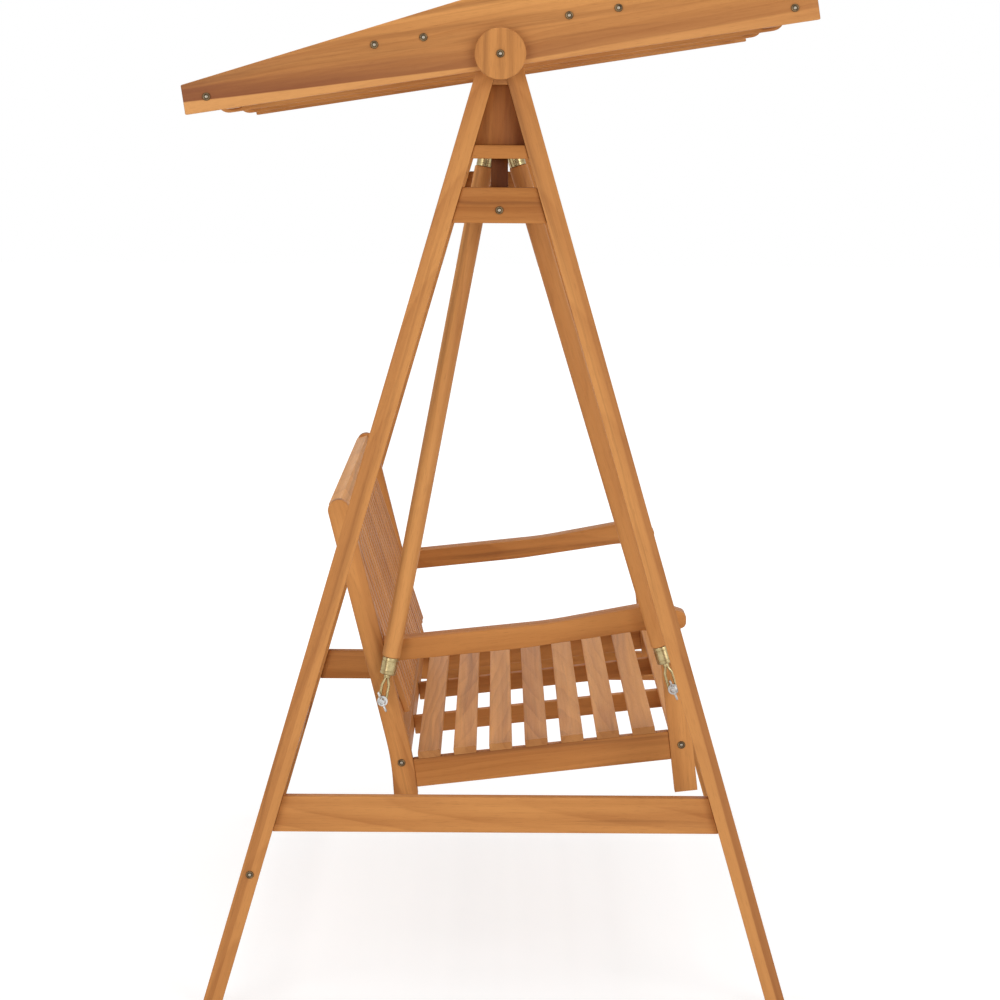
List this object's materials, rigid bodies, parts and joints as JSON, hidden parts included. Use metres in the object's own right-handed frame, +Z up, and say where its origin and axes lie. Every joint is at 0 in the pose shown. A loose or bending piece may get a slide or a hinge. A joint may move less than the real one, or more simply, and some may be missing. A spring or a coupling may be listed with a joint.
{
  "type": "swing bench",
  "caption": "Wooden garden swing bench: an A-frame stand with a tilting canopy frame and a slatted seat with armrests hung on round arms.",
  "frame": {"origin": "middle of the floor under the stand", "axes": "+X along the bench, -Y the way a sitter faces, +Z up"},
  "size_m": [1.856, 1.26, 2.0794],
  "materials": {
    "teak": "oiled satin hardwood with streaky grain",
    "brass": "satin turned brass",
    "bronze": "dark antiqued bolt heads",
    "steel": "bright zinc-plated"
  },
  "bodies": {
    "stand": {"apex_blocks": "teak", "hanger_brackets": "steel", "hanger_pins": "steel", "head_plates": "teak", "head_rails": "teak", "king_posts": "teak", "left_front_leg": "teak", "left_lower_rail": "teak", "left_rear_leg": "teak", "left_upper_rail": "teak", "main_beam": "teak", "pivot_bolts": "bronze", "rear_stretcher": "teak", "right_front_leg": "teak", "right_lower_rail": "teak", "right_rear_leg": "teak", "right_upper_rail": "teak", "stand_bolts": "bronze"},
    "canopy": {"canopy_bolts": "bronze", "front_canopy_rail": "teak", "front_ridge_board": "teak", "left_canopy_disc": "teak", "left_gable": "teak", "left_rafter": "teak", "rear_canopy_rail": "teak", "rear_ridge_board": "teak", "right_canopy_disc": "teak", "right_gable": "teak", "right_rafter": "teak"},
    "left_rear_hanger": {"left_rear_arm": "teak", "left_rear_arm_eyes": "brass", "left_rear_arm_ferrules": "brass"},
    "right_rear_hanger": {"right_rear_arm": "teak", "right_rear_arm_eyes": "brass", "right_rear_arm_ferrules": "brass"},
    "left_front_hanger": {"left_front_arm": "teak", "left_front_arm_eyes": "brass", "left_front_arm_ferrules": "brass"},
    "right_front_hanger": {"right_front_arm": "teak", "right_front_arm_eyes": "brass", "right_front_arm_ferrules": "brass"},
    "bench": {"back_slats": "teak", "front_seat_rail": "teak", "hang_bolts": "steel", "hang_spacers": "steel", "joint_bolts": "bronze", "left_armrest": "teak", "left_front_post": "teak", "left_rear_post": "teak", "left_seat_rail": "teak", "low_back_rail": "teak", "rear_seat_rail": "teak", "right_armrest": "teak", "right_front_post": "teak", "right_rear_post": "teak", "right_seat_rail": "teak", "seat_bearers": "teak", "seat_slats": "teak", "top_back_rail": "teak", "wing_nuts": "steel"}
  },
  "joints": [
    {"name": "canopy_tilt", "type": "hinge", "parent": "stand", "child": "canopy", "pos_m": [0, 0, 1.95], "axis": [1, 0, 0], "range_deg": [-12, 29]},
    {"name": "swing_left_rear", "type": "hinge", "parent": "stand", "child": "left_rear_hanger", "pos_m": [-0.6945, 0.02, 1.786], "axis": [1, 0, 0], "range_deg": [-10, 10]},
    {"name": "swing_right_rear", "type": "hinge", "parent": "stand", "child": "right_rear_hanger", "pos_m": [0.6945, 0.02, 1.786], "axis": [1, 0, 0], "range_deg": [-10, 10]},
    {"name": "swing_left_front", "type": "hinge", "parent": "stand", "child": "left_front_hanger", "pos_m": [-0.6945, -0.02, 1.786], "axis": [1, 0, 0], "range_deg": [-10.1, 10.1]},
    {"name": "swing_right_front", "type": "hinge", "parent": "stand", "child": "right_front_hanger", "pos_m": [0.6945, -0.02, 1.786], "axis": [1, 0, 0], "range_deg": [-10.1, 10.1]},
    {"name": "bench_hang", "type": "hinge", "parent": "left_rear_hanger", "child": "bench", "pos_m": [-0.6945, 0.238, 0.612], "axis": [1, 0, 0], "range_deg": [-1, 1]}
  ],
  "couplings": [
    {"joint": "swing_right_rear", "follows": "swing_left_rear", "ratio": 1},
    {"joint": "swing_left_front", "follows": "swing_left_rear", "ratio": 1.0016},
    {"joint": "swing_right_front", "follows": "swing_left_rear", "ratio": 1.0016},
    {"joint": "bench_hang", "follows": "swing_left_rear", "ratio": -0.0647}
  ]
}
